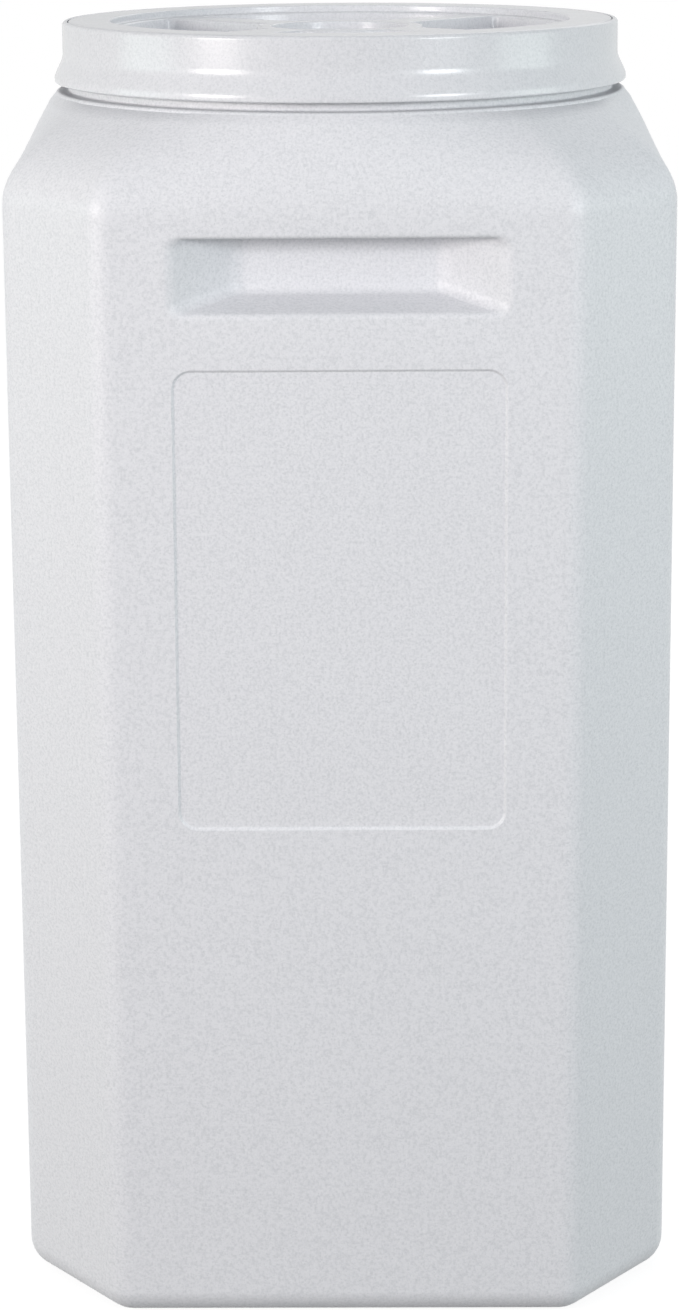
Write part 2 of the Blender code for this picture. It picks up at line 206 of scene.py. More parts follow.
class BinStage(PropertyGroup):
    """Camera, light and floor."""

    camera_distance: length("Camera distance", "From the bin's axis, level", 1.4837)
    camera_height: length("Camera height", "Above the floor", 0.7855)
    camera_side: length("Camera side step", "To the right of the bin's axis", 0.0115)
    camera_turn: FloatProperty(
        name="Camera turn", description="Turn to the left", default=0.0086, subtype="ANGLE"
    )
    camera_pitch: FloatProperty(
        name="Camera pitch", description="Tilt below level", default=0.1678, subtype="ANGLE"
    )
    camera_roll: FloatProperty(
        name="Camera roll", description="Roll of the frame", default=-0.0067, subtype="ANGLE"
    )
    focal_pixels: FloatProperty(
        name="Focal length", description="In pixels of the picture", default=2597.6
    )
    axis_row: FloatProperty(
        name="Optical axis row", description="Pixel row of the optical axis", default=299.8
    )
    light_aim: length("Light aim", "Height that the softboxes look at", 0.40)
    light_distance: length("Light distance", "From the aim to each softbox", 2.2)
    ambient: share("Ambient", "Level of the even surroundings as light", 0.43)
    ambient_tint: colour("Ambient tint", "Tint of the surroundings as light", (0.945, 0.972, 1.0))
    mirrored: share("Mirrored level", "Level of the surroundings in reflections", 0.90)
    floor_size: length("Floor size", "Side of the square floor", 8.0)
    floor_colour: colour("Floor", "Pale floor", (0.18, 0.18, 0.18))
    floor_glow: share("Floor glow", "Added light that lets the floor read as white", 0.88)
    floor_gap: length("Floor gap", "How far the floor lies below the bin", 0.0005)


def loft(name, rings, closed=False):
    """One mesh object through rings of points, capped at its ends or joined end to end."""
    mesh = bpy.data.meshes.new(name)
    bm = bmesh.new()
    rows = [[bm.verts.new(point) for point in ring] for ring in rings]
    pairs = list(zip(rows, rows[1:]))
    if closed:
        pairs.append((rows[-1], rows[0]))
    for low, high in pairs:
        for i, point in enumerate(low):
            j = (i + 1) % len(low)
            bm.faces.new((point, low[j], high[j], high[i]))
    if not closed:
        bm.faces.new(reversed(rows[0]))
        bm.faces.new(rows[-1])
    return mesh_object(name, mesh, bm)


def mesh_object(name, mesh, bm):
    """Writes the built faces into the mesh and links an object for it."""
    bmesh.ops.recalc_face_normals(bm, faces=bm.faces)
    bm.to_mesh(mesh)
    bm.free()
    obj = bpy.data.objects.new(name, mesh)
    bpy.context.scene.collection.objects.link(obj)
    return obj


def circle(radius, z, steps=224):
    turns = [2 * math.pi * i / steps for i in range(steps)]
    return [(radius * math.cos(a), radius * math.sin(a), z) for a in turns]


def arc(centre, radius, start, end, steps):
    """Points in a plane on an arc, by its centre and two angles in degrees."""
    angles = [math.radians(start + (end - start) * i / steps) for i in range(steps + 1)]
    return [(centre[0] + radius * math.cos(a), centre[1] + radius * math.sin(a)) for a in angles]


def turned(name, profile, closed=True):
    """A turned piece from a profile of (radius, height) points."""
    return loft(name, [circle(r, z) for r, z in profile], closed)


def cut_and_join(piece, steps):
    """Applies Booleans one after the other and removes the helpers."""
    for operation, other in steps:
        modifier = piece.modifiers.new(other.name, "BOOLEAN")
        modifier.operation = operation
        modifier.solver = "EXACT"
        modifier.object = other
    bake_modifiers(piece)
    for _, other in steps:
        bpy.data.objects.remove(other, do_unlink=True)


def bake_modifiers(piece):
    """Turns the piece's evaluated shape into its mesh."""
    graph = bpy.context.evaluated_depsgraph_get()
    graph.update()
    mesh = bpy.data.meshes.new_from_object(piece.evaluated_get(graph))
    piece.modifiers.clear()
    piece.data = mesh


def smooth(piece):
    """Smooth shading that leaves large flat faces flat."""
    piece.data.shade_smooth()
    piece.data.set_sharp_from_angle(angle=SHARP_ANGLE)
    modifier = piece.modifiers.new("flat_faces", "WEIGHTED_NORMAL")
    modifier.keep_sharp = True
    modifier.weight = 80
    bake_modifiers(piece)


def finish_piece(piece, body, slot, node=None):
    """Shades a piece, dresses it, sets it on its body and lets it stand for its node."""
    smooth(piece)
    piece.data.materials.clear()
    piece.data.materials.append(slot_finish(slot))
    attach(piece, body)
    if node:
        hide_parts(node)


def lip_levels(radius, steps=5):
    """(outward offset, depth) down a rounded lip, from the face it opens in."""
    turns = [QUARTER * i / steps for i in range(steps + 1)]
    return [(radius * (1 - math.sin(t)), radius * (1 - math.cos(t))) for t in turns]


def foot_levels(radius, depth, steps=5):
    """(outward offset, depth) round the foot of a wall into a floor at a depth."""
    turns = [QUARTER * i / steps for i in range(steps + 1)]
    return [(-radius * (1 - math.cos(t)), depth - radius * (1 - math.sin(t))) for t in turns]


# Finishes
def new_material(name):
    material = bpy.data.materials.new(name)
    material.use_nodes = True
    nodes, links = material.node_tree.nodes, material.node_tree.links
    return material, nodes, links, nodes["Principled BSDF"]


def noise(nodes, links, where, scale, detail=3.0, roughness=0.5):
    node = nodes.new("ShaderNodeTexNoise")
    node.inputs["Scale"].default_value = scale
    node.inputs["Detail"].default_value = detail
    node.inputs["Roughness"].default_value = roughness
    links.new(where, node.inputs["Vector"])
    return node


def ramp(nodes, links, value, low, high, first=(0, 0, 0, 1), last=(1, 1, 1, 1)):
    """A colour ramp between two positions."""
    node = nodes.new("ShaderNodeValToRGB")
    node.color_ramp.elements[0].position = low
    node.color_ramp.elements[0].color = first
    node.color_ramp.elements[1].position = high
    node.color_ramp.elements[1].color = last
    links.new(value, node.inputs["Fac"])
    return node


def mix(nodes, links, factor, first, second, blend="MIX"):
    node = nodes.new("ShaderNodeMix")
    node.data_type = "RGBA"
    node.blend_type = blend
    links.new(factor, node.inputs["Factor"])
    for socket, value in ((node.inputs["A"], first), (node.inputs["B"], second)):
        if isinstance(value, bpy.types.NodeSocket):
            links.new(value, socket)
        else:
            socket.default_value = (*value, 1.0)
    return node.outputs["Result"]


def speckled_plastic(name, colours, roughness, grain, flecks, tone=1.0):
    """Granite-look moulded plastic: pale base, dark and pale flecks, a faint grain in the surface."""
    material, nodes, links, shader = new_material(name)
    where = nodes.new("ShaderNodeTexCoord").outputs["Object"]
    cloud = noise(nodes, links, where, 14.0, 4.0, 0.55)
    cloud_mask = ramp(nodes, links, cloud.outputs["Fac"], 0.30, 0.75)
    pale = [c * tone for c in colours.body]
    base = mix(nodes, links, cloud_mask.outputs["Color"], pale, [c * 0.985 for c in pale])
    layers = (
        (760.0, 2.0, 0.50, 0.80, colours.pale_fleck),
        (640.0, 2.5, 0.44, 0.78, colours.fleck),
        (1150.0, 1.0, 0.62, 0.74, colours.fleck),
    )
    for scale, detail, low, high, fleck in layers:
        specks = noise(nodes, links, where, scale, detail, 0.6)
        mask = ramp(nodes, links, specks.outputs["Fac"], low, high)
        toned = [b + (f * tone - b) * flecks for b, f in zip(pale, fleck)]
        base = mix(nodes, links, mask.outputs["Color"], base, toned)
    links.new(base, shader.inputs["Base Color"])
    worn = noise(nodes, links, where, 35.0, 5.0, 0.6)
    gloss = nodes.new("ShaderNodeMapRange")
    gloss.inputs["To Min"].default_value = roughness - 0.05
    gloss.inputs["To Max"].default_value = roughness + 0.06
    links.new(worn.outputs["Fac"], gloss.inputs["Value"])
    links.new(gloss.outputs["Result"], shader.inputs["Roughness"])
    pores = noise(nodes, links, where, 900.0, 2.0, 0.5)
    bump = nodes.new("ShaderNodeBump")
    bump.inputs["Strength"].default_value = grain
    bump.inputs["Distance"].default_value = 0.0002
    links.new(pores.outputs["Fac"], bump.inputs["Height"])
    links.new(bump.outputs["Normal"], shader.inputs["Normal"])
    shader.inputs["IOR"].default_value = 1.5
    return material


def gasket_rubber(name, colours):
    """Matt rubber with a dusty bloom and a fine moulded grain."""
    material, nodes, links, shader = new_material(name)
    where = nodes.new("ShaderNodeTexCoord").outputs["Object"]
    dust = noise(nodes, links, where, 260.0, 5.0, 0.65)
    mask = ramp(nodes, links, dust.outputs["Fac"], 0.45, 0.80)
    base = mix(nodes, links, mask.outputs["Color"], colours.rubber, colours.rubber_bloom)
    links.new(base, shader.inputs["Base Color"])
    gloss = nodes.new("ShaderNodeMapRange")
    gloss.inputs["To Min"].default_value = 0.52
    gloss.inputs["To Max"].default_value = 0.70
    links.new(dust.outputs["Fac"], gloss.inputs["Value"])
    links.new(gloss.outputs["Result"], shader.inputs["Roughness"])
    bump = nodes.new("ShaderNodeBump")
    bump.inputs["Strength"].default_value = 0.3
    bump.inputs["Distance"].default_value = 0.0002
    links.new(dust.outputs["Fac"], bump.inputs["Height"])
    links.new(bump.outputs["Normal"], shader.inputs["Normal"])
    return material


def slot_finish(slot):
    """The finish of a material slot, made the first time a piece asks for it."""
    colours = bpy.context.scene.bin_colours
    name = f"{slot}_finish"
    if name in bpy.data.materials:
        return bpy.data.materials[name]
    if slot.endswith("rubber"):
        return gasket_rubber(name, colours)
    if slot == "body_plastic":
        return speckled_plastic(name, colours, colours.body_gloss, colours.body_grain, colours.body_flecks)
    grain, flecks = colours.closure_grain, colours.closure_flecks
    if slot == "ring_plastic":
        return speckled_plastic(name, colours, colours.ring_gloss, grain, flecks, colours.ring_tone)
    return speckled_plastic(name, colours, colours.lid_gloss, grain, flecks)


# Vessel
class VesselPlan:
    """The vessel's wall line in plan: a square with chamfered, rounded corners."""

    def __init__(self, sizes):
        self.sizes = sizes
        first, last = self.tangents(0.0)
        seam = sizes.seam_width / (math.sqrt(2) * (sizes.width - sizes.chamfer) / 2)
        middle = math.pi / 4
        spans = (
            (-first, first, 26),
            (first, last, 9),
            (last, middle - seam, 5),
            (middle - seam, middle + seam, 6),
            (middle + seam, QUARTER - last, 5),
            (QUARTER - last, QUARTER - first, 9),
        )
        self.seam = seam
        self.angles = []
        for quarter in range(4):
            for start, end, steps in spans:
                for i in range(steps):
                    self.angles.append(quarter * QUARTER + start + (end - start) * i / steps)

    def corner(self, inset):
        sizes = self.sizes
        half = sizes.width / 2 - inset
        leg = sizes.chamfer - inset * (2 - math.sqrt(2))
        return half, leg, max(sizes.edge_radius - inset, sizes.wall / 2)

    def tangents(self, inset):
        """Polar angles, from a face's middle, where its edge rounding starts and ends."""
        half, leg, radius = self.corner(inset)
        reach = radius * math.tan(math.pi / 8)
        slant = reach / math.sqrt(2)
        start = math.atan2(half - leg - reach, half)
        return start, math.atan2(half - leg + slant, half - slant)

    def reach(self, angle, inset):
        """Distance from the axis to the wall line at a polar angle."""
        half, leg, radius = self.corner(inset)
        first, last = self.tangents(inset)
        folded = abs((angle + math.pi / 4) % QUARTER - math.pi / 4)
        across, along = math.cos(folded), math.sin(folded)
        if folded <= first:
            return half / across
        if folded >= last:
            return (2 * half - leg) / (across + along)
        centre_x = half - radius
        centre_y = half - leg - radius * math.tan(math.pi / 8)
        toward = centre_x * across + centre_y * along
        return toward + math.sqrt(toward**2 - centre_x**2 - centre_y**2 + radius**2)

    def seam_rise(self, angle):
        """Height of the mould seam, which runs up the front left and the rear right chamfer."""
        near = min(abs(angle - turn * math.pi / 4) for turn in (1, 5))
        return self.sizes.seam_height * max(0.0, 1 - (near / self.seam) ** 2)

    def ring(self, z, inset=0.0, roundness=0.0, radius=0.0, seam=0.0):
        """One level, from the chamfered square (roundness 0) to a circle (roundness 1)."""
        points = []
        for angle in self.angles:
            wall = self.reach(angle, inset) * (1 - roundness) + radius * roundness
            wall += self.seam_rise(angle) * seam
            points.append((wall * math.cos(angle), wall * math.sin(angle), z))
        return points


def base_rings(plan, inset, floor_z, seam):
    """The pushed-up floor, the foot band and the round base edge, from the middle out."""
    sizes = plan.sizes
    rings = []
    for t in (1.0, 0.85, 0.5, 0.15, 0.0):
        ease = t * t * (3 - 2 * t)
        rings.append(plan.ring(floor_z + sizes.push_up * ease, sizes.foot_band + sizes.foot_slope * t))
    radius = sizes.base_radius - inset
    for i in range(9):
        turn = QUARTER * i / 8
        back = inset + radius * (1 - math.sin(turn))
        rings.append(plan.ring(floor_z + radius * (1 - math.cos(turn)), back, seam=seam * i / 8))
    return rings


def shoulder_rings(plan, inset, seam):
    """The soft break into the shoulder, and the shoulder up to its rounded ledge."""
    sizes = plan.sizes
    break_z = sizes.break_z - inset / 3
    top_z = sizes.shoulder_z - inset
    radius = sizes.neck_radius + sizes.ledge - inset
    rise = top_z - break_z
    part = sizes.break_blend / rise
    rings = []
    for i in range(13):
        t = i / 12
        z = break_z - sizes.break_blend * (1 - t) ** 2 + rise * part * t**2
        rings.append(plan.ring(z, inset, part * t**2, radius, seam))
    end = 1 - sizes.ledge_round / rise
    for i in range(1, 5):
        t = part + (end - part) * i / 4
        rings.append(plan.ring(break_z + rise * t, inset, t, radius, seam))
    for turn in (75, 60, 45, 30, 15, 0):
        angle = math.radians(turn)
        side = sizes.ledge_round / 2 * (math.sin(angle) - 1)
        drop = sizes.ledge_round / 2 * (1 - math.cos(angle))
        rings.append(plan.ring(top_z - drop, inset, 1, radius + side))
    return rings


def rounded_rectangle(half, bottom, top, radius, steps=8):
    """Points of a rectangle across the bin's middle, with round corners."""
    corners = (
        (half - radius, top - radius, 0),
        (radius - half, top - radius, 90),
        (radius - half, bottom + radius, 180),
        (half - radius, bottom + radius, 270),
    )
    points = []
    for x, z, start in corners:
        points += arc((x, z), radius, start, start + 90, steps)
    return points


def on_face(outline, depth, side, half):
    """An outline set behind the front face (side -1) or the rear face (side 1)."""
    return [(x, side * (half - depth), z) for x, z in outline]


def grip_section(grip, depth, offset):
    """A hand grip's outline at a depth, with sloping sides and sill and an undercut lip."""
    t = min(max(depth / grip.depth, 0.0), 1.0)
    half = grip.width / 2 - grip.side_slope * t + offset
    top = grip.top_z + grip.undercut * t + offset
    bottom = grip.top_z - grip.height + grip.sill_slope * t - offset
    return rounded_rectangle(half, bottom, top, max(grip.corner + offset, 0.0012))


def grip_hollow(name, grip, side, half):
    levels = [(grip.lip_round, -OVERRUN)] + lip_levels(grip.lip_round)
    levels += foot_levels(grip.floor_round, grip.depth)
    rings = [on_face(grip_section(grip, d, o), d, side, half) for o, d in levels]
    return loft(name, rings)


def grip_wall(name, grip, side, half, wall):
    """The back of a hand grip inside the vessel."""
    levels = [(wall, wall / 2), (wall, grip.depth / 2)]
    levels += [(o + wall, d + wall) for o, d in foot_levels(grip.floor_round, grip.depth)]
    rings = [on_face(grip_section(grip, d, o), d, side, half) for o, d in levels]
    return loft(name, rings)


def panel_hollow(grip, half):
    """The hollow of the bare panel, with a soft sloping step all round."""
    run = grip.panel_slope / 2
    shares = [i / 8 for i in range(9)]
    levels = [(run, -OVERRUN)]
    levels += [(run * (1 - 2 * t), grip.panel_depth * t * t * (3 - 2 * t)) for t in shares]
    rings = []
    for offset, deep in levels:
        top = grip.panel_top_z + offset
        bottom = grip.panel_top_z - grip.panel_height - offset
        across, corner = grip.panel_width / 2 + offset, grip.panel_corner + offset
        outline = rounded_rectangle(across, bottom, top, corner, 12)
        rings.append(on_face(outline, deep, -1, half))
    return loft("panel_hollow", rings)


class PETBIN_OT_vessel(Operator):
    """Builds the blow-moulded vessel with its neck, hand grips, panel and mould seam"""

    bl_idname = "petbin.vessel"
    bl_label = "Vessel"

    def execute(self, context):
        sizes, grip = context.scene.bin_vessel, context.scene.bin_grip
        plan = VesselPlan(sizes)
        half, wall = sizes.width / 2, sizes.wall
        rim_z = BODY_HIGH.z
        lip = sizes.neck_wall / 4
        inner = sizes.neck_radius - sizes.neck_wall
        outside = base_rings(plan, 0.0, BODY_LOW.z, 1.0)
        outside.append(plan.ring(sizes.seam_full_z, seam=1.0))
        outside.append(plan.ring(sizes.seam_faded_z, seam=sizes.seam_fade))
        outside += shoulder_rings(plan, 0.0, sizes.seam_fade)
        profile = arc((sizes.neck_radius + lip, sizes.shoulder_z + lip), lip, 270, 180, 4)
        profile += arc((sizes.neck_radius - lip, rim_z - lip), lip, 0, 90, 4)
        profile += arc((inner + lip, rim_z - lip), lip, 90, 180, 4)
        profile.append((inner, sizes.shoulder_z - wall))
        neck = [plan.ring(z, 0.0, 1.0, r) for r, z in profile]
        inside = base_rings(plan, wall, BODY_LOW.z + wall, 0.0) + shoulder_rings(plan, wall, 0.0)
        body = loft("bin_vessel", outside + neck + list(reversed(inside)))
        steps = []
        for label, side in (("front", -1), ("rear", 1)):
            steps.append(("UNION", grip_wall(f"{label}_grip_wall", grip, side, half, wall)))
            steps.append(("DIFFERENCE", grip_hollow(f"{label}_grip_hollow", grip, side, half)))
        steps.append(("DIFFERENCE", panel_hollow(grip, half)))
        cut_and_join(body, steps)
        finish_piece(body, "bin", "body_plastic", "bin_body")
        return {"FINISHED"}


# Adapter ring and lid
def closure_places(context):
    """Radii and heights of the closure, worked out from the neck and the frame."""
    sizes, vessel = context.scene.bin_closure, context.scene.bin_vessel
    at = SimpleNamespace(top=RING_HIGH.z, ring_bottom=RING_LOW.z, skirt_bottom=LID_LOW.z)
    at.bore_outer = vessel.neck_radius + sizes.fit_gap
    at.ring = at.bore_outer + sizes.ring_wall
    at.flare = at.ring + sizes.flare
    at.deck = at.top - sizes.upper_lip
    at.channel = at.deck - sizes.deck
    at.collar = vessel.neck_radius - vessel.neck_wall - sizes.collar_gap
    at.bore = at.collar - sizes.collar_wall
    at.collar_bottom = at.channel - sizes.collar_depth
    at.lid = LID_HIGH.x
    at.skirt = at.bore - sizes.thread_gap
    at.pan_radius = at.lid - sizes.lid_rim
    at.pan = at.top - sizes.pan_depth
    at.under = at.pan - sizes.lid_wall
    at.flange = at.top - sizes.lid_flange
    at.well_floor = at.top - sizes.well_depth
    return at


def flare_points(sizes, at, offset):
    """The skirt's flare: a hollow fillet under the upright wall, a straight cone and its lower edge."""
    start = at.ring_bottom + sizes.lower_lip + sizes.flare_height
    hollow, edge = sizes.flare_fillet, sizes.flare_edge
    cone = sizes.flare_height - (hollow + edge) / 2
    points = []
    for i in range(13):
        t = i / 12
        points.append((at.ring - offset + sizes.flare * hollow * t * t / (2 * cone), start - hollow * t))
    for i in range(7):
        t = i / 6
        out = sizes.flare * (1 - edge * (1 - t) ** 2 / (2 * cone))
        points.append((at.ring - offset + out, start - sizes.flare_height + edge * (1 - t)))
    return points


def thread(name, radius, low, high, sizes, inward, turn):
    """Helical ridges in a bore or on a skirt, which fade out at their ends."""
    height = -sizes.thread_height if inward else sizes.thread_height
    pitch = sizes.thread_lead / sizes.thread_starts
    turns = (high - low) / sizes.thread_lead
    steps = max(int(turns * 144), 12)
    mesh = bpy.data.meshes.new(name)
    bm = bmesh.new()
    for start in range(sizes.thread_starts):
        rows = []
        for i in range(steps + 1):
            t = i / steps
            fade = min(1.0, 10 * t, 10 * (1 - t))
            angle = turn + 2 * math.pi * (turns * t + start / sizes.thread_starts)
            z = low + (high - low) * t
            crest, root = radius + height * fade, radius - height * 0.3
            flank = radius + height * fade * 0.8
            half = ((root, 0.26), (flank, 0.13), (crest, 0.08))
            section = [(r, -h) for r, h in half] + list(reversed(half))
            points = [(r * math.cos(angle), r * math.sin(angle), z + pitch * h) for r, h in section]
            rows.append([bm.verts.new(point) for point in points])
        count = len(rows[0])
        for near, far in zip(rows, rows[1:]):
            for k in range(count):
                j = (k + 1) % count
                bm.faces.new((near[k], near[j], far[j], far[k]))
        bm.faces.new(rows[0])
        bm.faces.new(reversed(rows[-1]))
    return mesh_object(name, mesh, bm)


class PETBIN_OT_adapter_ring(Operator):
    """Builds the press-on ring with its flared skirt, deck and threaded collar"""

    bl_idname = "petbin.adapter_ring"
    bl_label = "Adapter ring"

    def execute(self, context):
        sizes, at = context.scene.bin_closure, closure_places(context)
        edge, crown = sizes.ring_round, sizes.ring_top_round
        inner_edge = edge / 2
        profile = arc((at.ring - crown, at.top - crown), crown, 90, 0, 9)
        profile += flare_points(sizes, at, 0.0)
        profile += arc((at.flare - edge, at.ring_bottom + edge), edge, 0, -90, 7)
        profile.append((at.flare - sizes.ring_wall, at.ring_bottom))
        profile += list(reversed(flare_points(sizes, at, sizes.ring_wall)))
        profile += [(at.bore_outer, at.channel), (at.collar, at.channel)]
        profile += [(at.collar, at.collar_bottom), (at.bore, at.collar_bottom)]
        profile += arc((at.bore + inner_edge, at.deck - inner_edge), inner_edge, 180, 90, 4)
        profile += [(at.bore_outer, at.deck)]
        profile += arc((at.bore_outer + inner_edge, at.top - inner_edge), inner_edge, 180, 90, 4)
        ring = turned("ring_collar", profile)
        finish_piece(ring, "bin", "ring_plastic", "adapter_ring")
        return {"FINISHED"}


class PETBIN_OT_threads(Operator):
    """Builds the coarse screw threads in the ring's bore and on the lid's skirt"""

    bl_idname = "petbin.threads"
    bl_label = "Screw threads"

    def execute(self, context):
        sizes = context.scene.bin_closure
        at = closure_places(context)
        pitch = sizes.thread_lead / sizes.thread_starts
        margin = pitch / 2
        low = at.collar_bottom + margin
        ring = thread("ring_thread", at.bore, low, at.deck - margin, sizes, True, 0.0)
        finish_piece(ring, "bin", "ring_plastic")
        lid_low = at.skirt_bottom + margin
        turn = 2 * math.pi * (lid_low - low - pitch / 2) / sizes.thread_lead
        lid = thread("lid_thread", at.skirt, lid_low, at.flange - margin, sizes, False, turn)
        finish_piece(lid, "lid", "lid_plastic")
        return {"FINISHED"}


def spun(outline, turn):
    """A flat outline turned about the axis."""
    c, s = math.cos(turn), math.sin(turn)
    return [(x * c - y * s, x * s + y * c) for x, y in outline]


def at_height(outline, z):
    return [(x, y, z) for x, y in outline]


def well_outline(sizes, at, offset):
    """A finger well between two spokes, from the hub out to the shelf inside the rim."""
    side, hub = sizes.spoke_half - offset, sizes.hub_radius - offset
    radius = sizes.well_corner + offset
    reach = at.pan_radius - sizes.well_shelf + offset
    inner = math.asin((side + radius) / (hub + radius))
    outer = math.asin((side + radius) / (reach - radius))
    near, far = (hub + radius) * math.cos(inner), (reach - radius) * math.cos(outer)
    low, start = math.degrees(inner), math.degrees(outer)
    points = arc((near, side + radius), radius, 270, 180 + low, 8)
    points += arc((0, 0), hub, low, 90 - low, 16)[1:-1]
    points += arc((side + radius, near), radius, 270 - low, 180, 8)
    points += arc((side + radius, far), radius, 180, 90 - start, 8)
    points += arc((0, 0), reach, 90 - start, start, 24)[1:-1]
    points += arc((far, side + radius), radius, start, -90, 8)
    return points


def well_hollow(name, sizes, at, turn):
    deep = at.pan - at.well_floor
    levels = [(sizes.lid_round, -OVERRUN)] + lip_levels(sizes.lid_round)
    levels += foot_levels(sizes.lid_round, deep)
    rings = []
    for offset, depth in levels:
        draft = sizes.well_draft * max(depth, 0.0) / deep
        rings.append(at_height(spun(well_outline(sizes, at, offset - draft), turn), at.pan - depth))
    return loft(name, rings)


def well_wall(name, sizes, at, turn):
    """The outside of a well, seen from under the lid."""
    wall = sizes.lid_wall
    deep = at.pan - at.well_floor
    levels = [(wall, wall / 2)]
    levels += [(o + wall, d + wall) for o, d in foot_levels(sizes.lid_round, deep)]
    rings = []
    for offset, depth in levels:
        draft = sizes.well_draft * depth / deep
        rings.append(at_height(spun(well_outline(sizes, at, offset - draft), turn), at.pan - depth))
    return loft(name, rings)


class PETBIN_OT_spin_lid(Operator):
    """Builds the lid with its rim, pan, dished hub, finger wells between spokes and threaded skirt"""

    bl_idname = "petbin.spin_lid"
    bl_label = "Spin lid"

    def execute(self, context):
        sizes, at = context.scene.bin_closure, closure_places(context)
        edge = sizes.lid_round
        inner = at.skirt - sizes.skirt_wall
        dish, bowl = sizes.dish_radius, 2 * edge
        profile = arc((dish - bowl, at.pan - sizes.dish_depth + bowl), bowl, 270, 360, 5)
        profile += arc((dish + edge, at.pan - edge), edge, 180, 90, 5)
        profile.append((at.pan_radius - edge, at.pan))
        profile += arc((at.pan_radius - edge, at.pan + edge), edge, 270, 360, 5)[1:]
        profile += arc((at.pan_radius + edge, at.top - edge), edge, 180, 90, 5)
        profile += arc((at.lid - edge, at.top - edge), edge, 90, 0, 5)
        profile += [(at.lid, at.flange), (at.skirt, at.flange)]
        profile += arc((at.skirt - edge, at.skirt_bottom + edge), edge, 0, -90, 5)
        profile += arc((inner + edge, at.skirt_bottom + edge), edge, 270, 180, 5)
        dish += sizes.lid_wall
        profile += [(inner, at.under), (dish, at.under), (dish - edge, at.under - sizes.dish_depth)]
        lid = turned("lid_disc", profile, closed=False)
        steps = []
        for quarter in range(4):
            turn = sizes.spoke_turn + quarter * QUARTER
            steps.append(("UNION", well_wall(f"well_wall_{quarter}", sizes, at, turn)))
            steps.append(("DIFFERENCE", well_hollow(f"well_hollow_{quarter}", sizes, at, turn)))
        cut_and_join(lid, steps)
        finish_piece(lid, "lid", "lid_plastic", "spin_lid")
        return {"FINISHED"}


class PETBIN_OT_gaskets(Operator):
    """Builds the two rubber gaskets"""

    bl_idname = "petbin.gaskets"
    bl_label = "Gaskets"

    def execute(self, context):
        sizes, at = context.scene.bin_closure, closure_places(context)
        gap = LID_SEAL_LOW.z - at.deck
        lid_width = 2 * (LID_SEAL_HIGH.x - (at.bore + at.bore_outer) / 2)
        neck_inner, lid_inner = at.collar + gap, LID_SEAL_HIGH.x - lid_width
        neck_box, lid_box = (NECK_SEAL_LOW, NECK_SEAL_HIGH), (LID_SEAL_LOW, LID_SEAL_HIGH)
        seals = (
            ("neck_seal", "neck_gasket", "bin", "neck_rubber", neck_box, neck_inner),
            ("lid_seal", "lid_gasket", "lid_carriage", "lid_rubber", lid_box, lid_inner),
        )
        for name, node, body, slot, (low, high), inner in seals:
            edge, outer = sizes.seal_round, high.x
            profile = arc((inner + edge, low.z + edge), edge, 270, 180, 5)
            profile += arc((inner + edge, high.z - edge), edge, 180, 90, 5)
            profile += arc((outer - edge, high.z - edge), edge, 90, 0, 5)
            profile += arc((outer - edge, low.z + edge), edge, 0, -90, 5)
            finish_piece(turned(name, profile), body, slot, node)
        return {"FINISHED"}


# Stage
# Name, bearing from the front and height angle in degrees, side in metres, watts and tint
SOFTBOXES = (
    ("key_softbox", -48.0, 14.0, 0.55, 26.2, (1.0, 0.930, 0.912)),
    ("fill_softbox", 40.0, 16.5, 0.50, 16.8, (0.942, 0.980, 1.0)),
    ("left_wall", -82.0, 6.0, 1.0, 6.2, (0.76, 1.0, 0.92)),
    ("right_wall", 78.0, 6.0, 1.0, 8.0, (0.88, 1.0, 0.93)),
    ("rear_softbox", 165.0, 38.0, 1.2, 4.0, (1.0, 1.0, 1.0)),
)


def add_softbox(name, bearing, rise, side, power, tint, stage):
    """A square soft light that looks at the bin from a bearing and a height angle."""
    light = bpy.data.lights.new(name, "AREA")
    light.shape = "SQUARE"
    light.size = side
    light.energy = power
    light.color = tint
    turn, lift = math.radians(bearing), math.radians(rise)
    away = Vector((math.sin(turn) * math.cos(lift), -math.cos(turn) * math.cos(lift), math.sin(lift)))
    obj = bpy.data.objects.new(name, light)
    obj.location = Vector((0.0, 0.0, stage.light_aim)) + away * stage.light_distance
    obj.rotation_mode = "QUATERNION"
    obj.rotation_quaternion = away.to_track_quat("Z", "Y")
    bpy.context.scene.collection.objects.link(obj)


